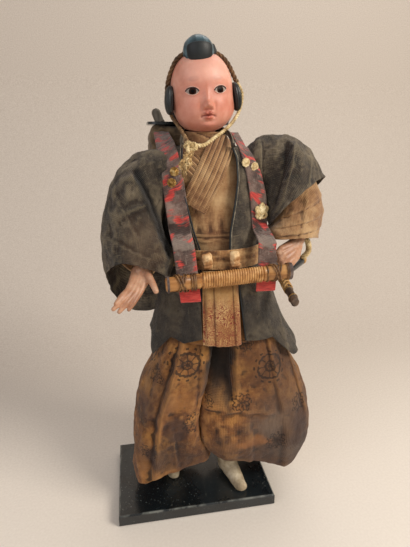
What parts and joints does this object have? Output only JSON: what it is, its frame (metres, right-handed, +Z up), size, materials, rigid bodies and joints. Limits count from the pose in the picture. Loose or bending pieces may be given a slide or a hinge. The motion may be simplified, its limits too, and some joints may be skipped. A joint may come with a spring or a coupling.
{
  "type": "costume doll",
  "caption": "Old standing costume doll of a travelling pilgrim: gofun head, layered silk robe and pleated trousers, cane bar, back pack and short sword, on a black lacquered board",
  "frame": {"origin": "centre of the underside of the lacquered board", "axes": "+Z up, -Y the way the doll faces, +X the doll's left"},
  "size_m": [0.199, 0.133, 0.4249],
  "materials": {
    "lacquer": "black lacquer, worn through to lighter brown along the edges",
    "sock": "white gofun over wood, matt and a little dirty",
    "straw": "bound straw and paper, out of sight",
    "peg": "plain wood",
    "gofun": "polished shell-white ground, tinted flesh and aged",
    "eye": "dark inset glass",
    "hair": "black silk hair, glossy",
    "cap": "black lacquered cap with a blue-grey sheen",
    "gold_cord": "twisted pale gold silk cord",
    "ochre_silk": "thin ochre silk, checked, stained brown",
    "jacket_silk": "dark olive-grey silk, worn",
    "strap_cloth": "grey woven band with coral patches",
    "brass": "dull old brass",
    "cane": "smooth cane with wound thread",
    "brown_cloth": "brown-ochre brocade",
    "brocade": "ochre brocade with dark wheel medallions",
    "steel": "dull blade",
    "grip_wrap": "ochre cord over the hilt"
  },
  "bodies": {
    "base": {"base_board": "lacquer"},
    "head": {"head": "gofun", "right_eye": "eye", "left_eye": "eye", "right_side_lock": "hair", "left_side_lock": "hair", "back_hair": "hair", "cap": "cap", "right_head_cord": "gold_cord", "left_head_cord": "gold_cord", "cord_knot": "gold_cord", "cord_tassel": "gold_cord"},
    "right_hand": {"right_hand": "gofun"},
    "left_hand": {"left_hand": "gofun"},
    "sword": {"sword_grip": "grip_wrap", "sword_blade": "steel"},
    "figure": {"pack_top_board": "lacquer", "scabbard": "lacquer", "knife_sheath": "lacquer", "right_leg": "sock", "left_leg": "sock", "body_core": "straw", "right_arm": "straw", "left_arm": "straw", "right_foot_peg": "peg", "left_foot_peg": "peg", "neck_peg": "peg", "sword_hanger": "gold_cord", "strap_rosette": "gold_cord", "neck_wrap": "ochre_silk", "under_robe": "ochre_silk", "right_collar": "ochre_silk", "left_collar": "ochre_silk", "right_inner_sleeve": "ochre_silk", "left_inner_sleeve": "ochre_silk", "right_belt_roll": "ochre_silk", "left_belt_roll": "ochre_silk", "sash_panel": "ochre_silk", "jacket_right_front": "jacket_silk", "jacket_left_front": "jacket_silk", "jacket_back": "jacket_silk", "jacket_right_sleeve": "jacket_silk", "jacket_left_sleeve": "jacket_silk", "right_strap": "strap_cloth", "left_strap": "strap_cloth", "pack_scroll": "strap_cloth", "right_upper_stud": "brass", "right_lower_stud": "brass", "left_upper_stud": "brass", "left_lower_stud": "brass", "yoke_bar": "cane", "bar_winding": "cane", "right_bar_lashing": "cane", "left_bar_lashing": "cane", "belt": "brown_cloth", "pack_box": "brown_cloth", "hakama_seat": "brocade", "hakama_right_leg": "brocade", "hakama_left_leg": "brocade"}
  },
  "joints": [
    {"name": "figure_lift", "type": "slide", "parent": "base", "child": "figure", "axis": [0, 0, 1], "range_m": [0, 0.015]},
    {"name": "head_turn", "type": "hinge", "parent": "figure", "child": "head", "pos_m": [0.0125, -0.0015, 0.345], "axis": [0, 0, 1], "range_deg": [-10, 10]},
    {"name": "right_wrist_turn", "type": "hinge", "parent": "figure", "child": "right_hand", "pos_m": [-0.044, -0.03, 0.253], "axis": [0.3029, -0.7357, -0.6058], "range_deg": [-12, 12]},
    {"name": "left_wrist_turn", "type": "hinge", "parent": "figure", "child": "left_hand", "pos_m": [0.095, -0.02, 0.268], "axis": [-0.4558, -0.5698, -0.6838], "range_deg": [-10, 10]},
    {"name": "sword_draw", "type": "slide", "parent": "figure", "child": "sword", "axis": [-0.0634, -0.974, -0.2174], "range_m": [0, 0.06]}
  ]
}
